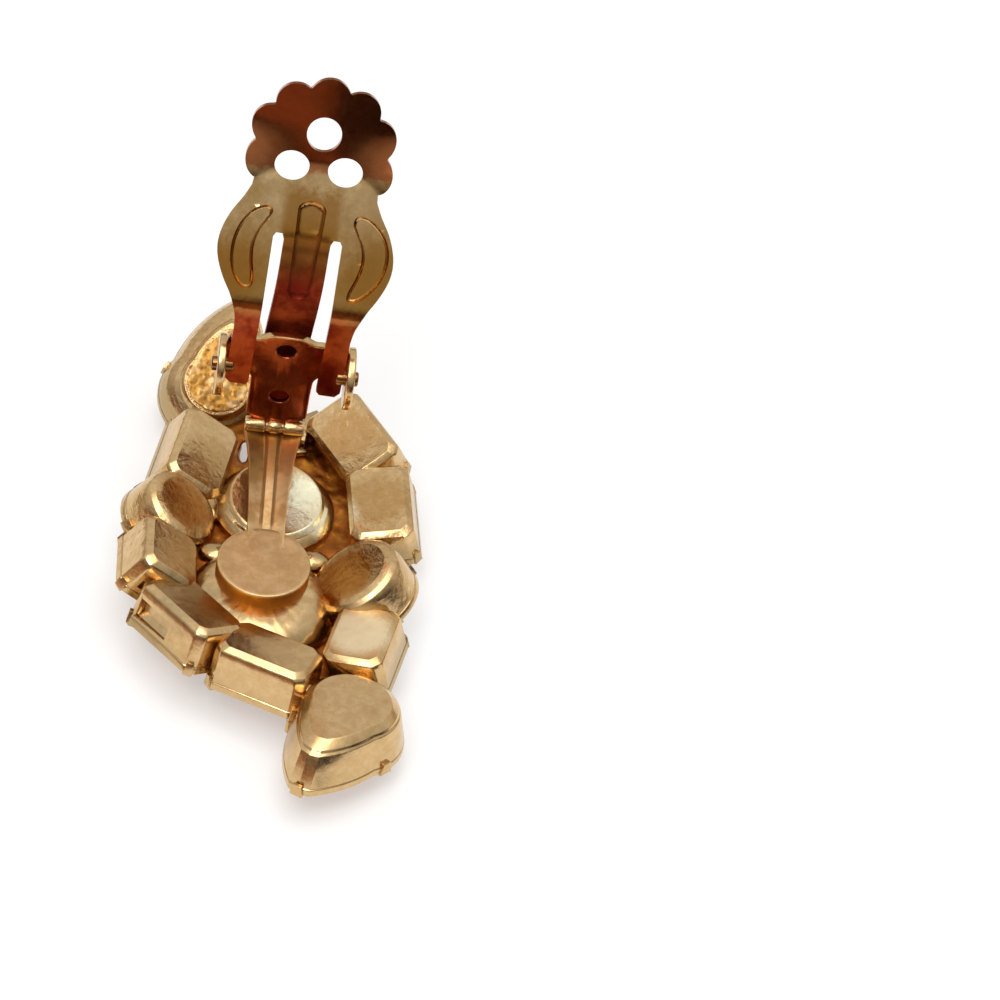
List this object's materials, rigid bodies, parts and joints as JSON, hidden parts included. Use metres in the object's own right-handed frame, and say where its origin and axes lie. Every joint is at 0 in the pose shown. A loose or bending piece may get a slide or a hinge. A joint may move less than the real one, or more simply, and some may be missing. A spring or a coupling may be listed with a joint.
{
  "type": "clip-on earring",
  "caption": "Clip-on earring of soldered metal cups that hold faceted glass stones, lying on its stones with the hinged paddle of its ear clip swung open.",
  "frame": {"origin": "on the table of the lower large round stone, on which the earring rests, straight under the middle of the clip's pad", "axes": "+Z out of the back of the earring, away from the resting surface; +Y along the clip's stem from the pad towards the hinge; +X across, along the hinge pin"},
  "size_m": [0.019, 0.0394, 0.0294],
  "materials": {
    "gold": "bright gold plate, worn",
    "stone": "faceted, foiled behind"
  },
  "bodies": {
    "earring": {"setting": "gold", "stone_pear_large": "stone", "stone_pear_small": "stone", "stone_round_upper": "stone", "stone_round_lower": "stone", "stone_round_left": "stone", "stone_round_right": "stone", "stone_octagon_1": "stone", "stone_octagon_2": "stone", "stone_octagon_3": "stone", "stone_octagon_4": "stone", "stone_octagon_5": "stone", "stone_octagon_6": "stone", "stone_octagon_7": "stone"},
    "paddle": {"paddle": "gold"}
  },
  "joints": [
    {"name": "clip_hinge", "type": "hinge", "parent": "earring", "child": "paddle", "pos_m": [0, 0.0087, 0.0131], "axis": [1, 0, 0], "range_deg": [0, 135]}
  ]
}
